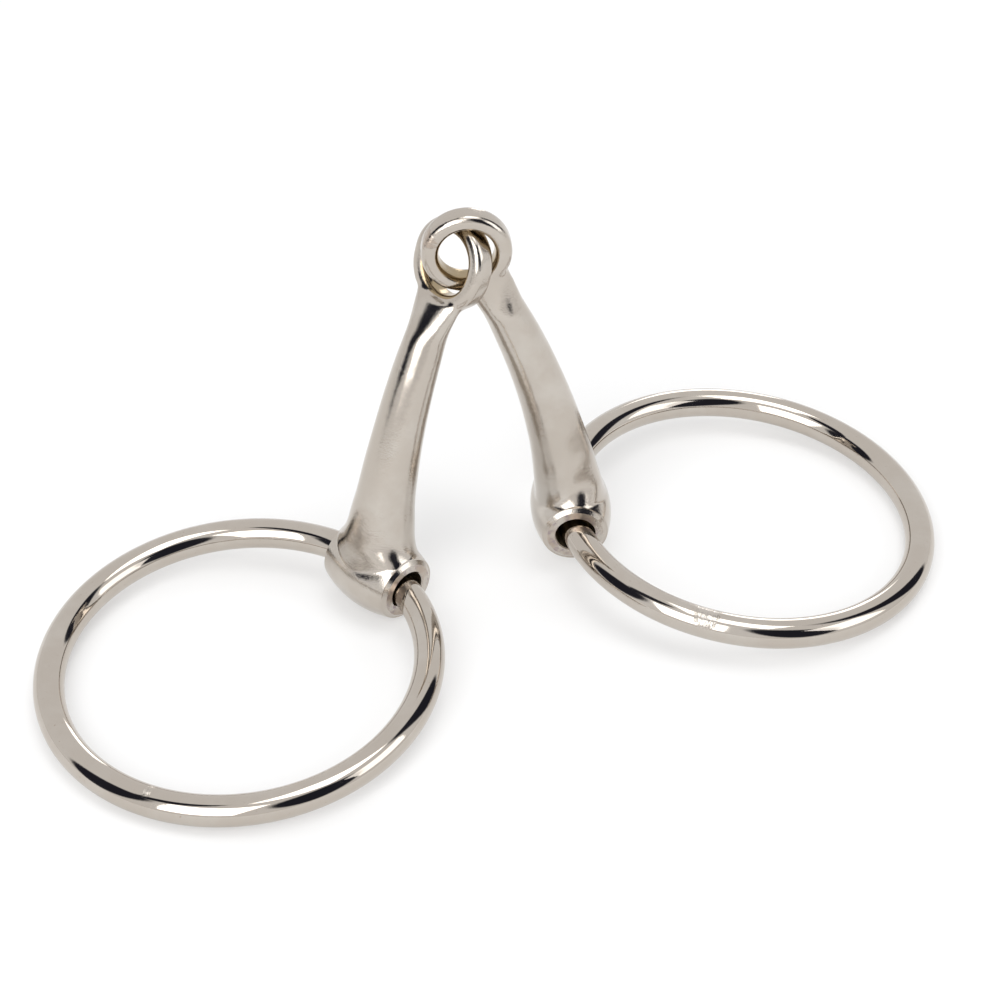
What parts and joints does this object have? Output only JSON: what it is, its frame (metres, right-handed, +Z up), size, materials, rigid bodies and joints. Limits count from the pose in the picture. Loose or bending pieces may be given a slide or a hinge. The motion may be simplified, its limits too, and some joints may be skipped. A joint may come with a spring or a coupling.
{
  "type": "snaffle bit",
  "caption": "Loose-ring snaffle bit: two bowed tapering arms linked by interlocked eyes at the middle, each ending in a bored butt that a round ring slides through.",
  "frame": {"origin": "centre of the footprint at the lowest point, on the table the two rings lie on", "axes": "+Z up with the linked eyes at the top, +X towards the right ring, -Y towards the side the butts' bores open on at the front"},
  "size_m": [0.1692, 0.1182, 0.0784],
  "materials": {
    "ring_plate": "polished bright nickel plate",
    "arm_plate": "satin nickel plate over a cast surface"
  },
  "bodies": {
    "left_cannon": {"left_cannon": "arm_plate"},
    "right_cannon": {"right_cannon": "arm_plate"},
    "left_ring": {"left_ring": "ring_plate"},
    "right_ring": {"right_ring": "ring_plate"}
  },
  "joints": [
    {"name": "mouth_joint", "type": "hinge", "parent": "left_cannon", "child": "right_cannon", "pos_m": [-0.00662, 0.01747, 0.07021], "axis": [0.0958, -0.9954, 0], "range_deg": [-2, 143]},
    {"name": "left_ring_swing", "type": "hinge", "parent": "left_cannon", "child": "left_ring", "pos_m": [-0.0231, 0.00246, 0.0077], "axis": [-0.7083, 0.7059, 0], "range_deg": [-85, 80]},
    {"name": "right_ring_swing", "type": "hinge", "parent": "right_cannon", "child": "right_ring", "pos_m": [0.0135, 0.01836, 0.0102], "axis": [0.0958, -0.9954, 0], "range_deg": [-85, 80]}
  ]
}
